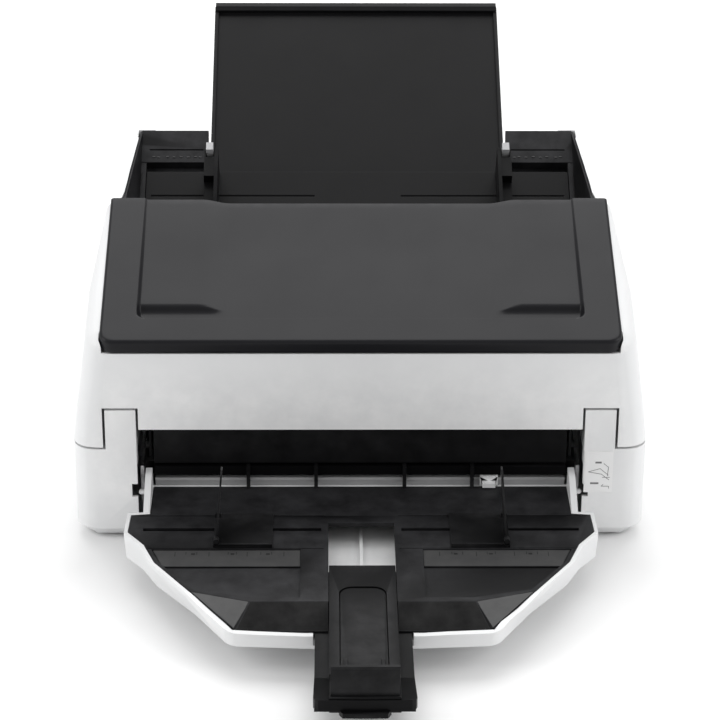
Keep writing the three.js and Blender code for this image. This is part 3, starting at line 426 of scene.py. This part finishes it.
for word, side in (("left", -1), ("right", 1)):
    # painted light: thin sheets laid just above the stacker's facets; the front facet's sheet is darker, a painted
    # shade on that slope
    slope = [(25.4, -166.6, 37.7), (80.2, -166.6, 37.7), (89.4, -189.6, 28.3), (25.4, -189.6, 28.3)]
    flat_piece(f"{word}_front_facet_shade_sheet", [place(side * x, y, z + 0.12) for x, y, z in slope], 0.3,
               "textured_black_plastic", "stacker", "facet_painted_shade")
    # painted highlight: the corner facet's sheet is lighter and glossier, a painted sheen on that facet
    lean = [(81.6, -166.2, 37.75), (122.4, -152.6, 37.85), (91.6, -187.9, 29.6), (90.4, -188.8, 28.8)]
    flat_piece(f"{word}_corner_facet_highlight_sheet", [place(side * x, y, z + 0.12) for x, y, z in lean], 0.3,
               "textured_black_plastic", "stacker", "facet_painted_highlight")
    band = [(45.4, -90.2), (153.6, -90.2), (146.4, -111.6), (145.0, -113.9), (45.4, -113.9)]
    flat_piece(f"{word}_scale_band", plate_outline(band, STACK_TOP - 0.8, side), 0.5, "textured_black_plastic",
               "stacker", "band_grey")
    ticks = []
    for i, x in enumerate((57, 66, 74, 84, 92, 98, 112, 121, 129, 137)):
        ticks.append((side * x, side * (x + 0.5), -96.5 if i % 3 else -99.0, -92.6, STACK_TOP - 0.85, STACK_TOP - 0.72))
        if i % 3 == 1:
            ticks.append((side * (x + 1.6), side * (x + 4.4), -96.8, -94.6, STACK_TOP - 0.85, STACK_TOP - 0.72))
    bars(f"{word}_scale_marks", ticks, "textured_black_plastic", "stacker", material="mark_black")
    posts = [(side * x, side * (x + 2.2), 47.2 + (i % 2) * 0.5, 48.0 + (i % 2) * 0.5, 0.55, 0.95)
             for i, x in enumerate((131, 135, 141, 147, 153, 158.5, 166, 170))]
    bars(f"{word}_chute_icons", posts, "black_plastic", "lower_body", at=on_chute, material="icon_black")

# pictogram on the label: a tray seen from the side with sheets, and two dashes of text-free marks
LABEL_Y = -0.75


def stroke(x0, z0, x1, z1, w=0.5):
    d = Vector((x1 - x0, 0, z1 - z0))
    n = Vector((-d.z, 0, d.x)).normalized() * w / 2
    a, b = Vector((x0, 0, z0)), Vector((x1, 0, z1))
    quad = [a - n, b - n, b + n, a + n]
    return [place(p.x, LABEL_Y, p.z) for p in quad] + [place(p.x, LABEL_Y - 0.06, p.z) for p in quad]


def label_marks():
    lines = [(174.4, 55.6, 183.5, 58.4), (174.4, 55.6, 184.6, 53.6), (183.5, 58.4, 190.0, 52.6), (184.6, 53.6, 190.6, 48.6),
             (186.0, 62.8, 189.8, 59.6), (189.8, 59.6, 189.2, 52.0), (185.2, 50.9, 191.2, 50.9), (184.8, 43.2, 190.6, 43.2),
             (184.8, 43.2, 186.2, 44.8), (190.6, 43.2, 190.6, 41.2)]
    wide = [(179.6, 63.6, 184.4, 63.6), (176.2, 45.8, 182.6, 45.8)]
    verts, faces = [], []
    for args in [ln + (0.42,) for ln in lines] + [w + (1.5,) for w in wide]:
        base = len(verts)
        verts += stroke(*args)
        faces += [tuple(base + i for i in f) for f in
                  ((0, 1, 2, 3), (7, 6, 5, 4), (0, 4, 5, 1), (1, 5, 6, 2), (2, 6, 7, 3), (3, 7, 4, 0))]
    built("label_pictogram", verts, faces, [], "label_film", "lower_body", 30.0, "mark_grey")


label_marks()


# ---------------------------------------------------------------- studio
def studio():
    me = bpy.data.meshes.new("floor")
    s = 7.0
    me.from_pydata([(-s, -s, 0), (s, -s, 0), (s, s, 0), (-s, s, 0)], [], [(0, 1, 2, 3)])
    floor = bpy.data.objects.new("floor", me)
    bpy.context.scene.collection.objects.link(floor)
    mat, nt, bsdf = new_material("floor", (0.90, 0.90, 0.90), 0.7, specular=0.2)
    nt.links.new(remap(nt, noise(nt, coords(nt), 3.0), 0.65, 0.75), bsdf.inputs["Roughness"])
    me.materials.append(mat)
    world = bpy.data.worlds.new("studio")
    bpy.context.scene.world = world
    world.use_nodes = True
    world.node_tree.nodes["Background"].inputs["Color"].default_value = (1, 1, 1, 1)
    world.node_tree.nodes["Background"].inputs["Strength"].default_value = 0.62

    def area(name, loc, target, size, power):
        lamp = bpy.data.lights.new(name, "AREA")
        lamp.shape = "RECTANGLE"
        lamp.size, lamp.size_y = size
        lamp.energy = power
        ob = bpy.data.objects.new(name, lamp)
        ob.location = loc
        ob.rotation_euler = (Vector(target) - Vector(loc)).to_track_quat("-Z", "Y").to_euler()
        bpy.context.scene.collection.objects.link(ob)

    area("top_light", (0.0, 1.5, 2.6), (0, 0, 0.1), (3.2, 2.2), 62)
    area("left_light", (-2.4, -0.6, 1.5), (0, 0, 0.1), (1.4, 2.0), 26)
    area("right_light", (2.4, -0.6, 1.5), (0, 0, 0.1), (1.4, 2.0), 26)
    bpy.context.scene.view_settings.view_transform = "Standard"


def camera():
    cam = bpy.data.cameras.new("camera")
    cam.lens = 131.7
    cam.sensor_width = 36.0
    cam.clip_end = 50.0
    ob = bpy.data.objects.new("camera", cam)
    tilt, turn, roll = math.radians(25.0), math.radians(0.784), math.radians(0.308)
    forward = Vector((math.sin(turn) * math.cos(tilt), math.cos(turn) * math.cos(tilt), -math.sin(tilt)))
    level = Vector((math.cos(turn), -math.sin(turn), 0))
    over = level.cross(forward)
    right = level * math.cos(roll) + over * math.sin(roll)
    up = over * math.cos(roll) - level * math.sin(roll)
    m = Matrix((right, up, -forward)).transposed().to_4x4()
    m.translation = place(-25.3, -1790.2, 984.7)
    ob.matrix_world = m
    bpy.context.scene.collection.objects.link(ob)
    bpy.context.scene.camera = ob


studio()
camera()

bpy.context.view_layer.update()
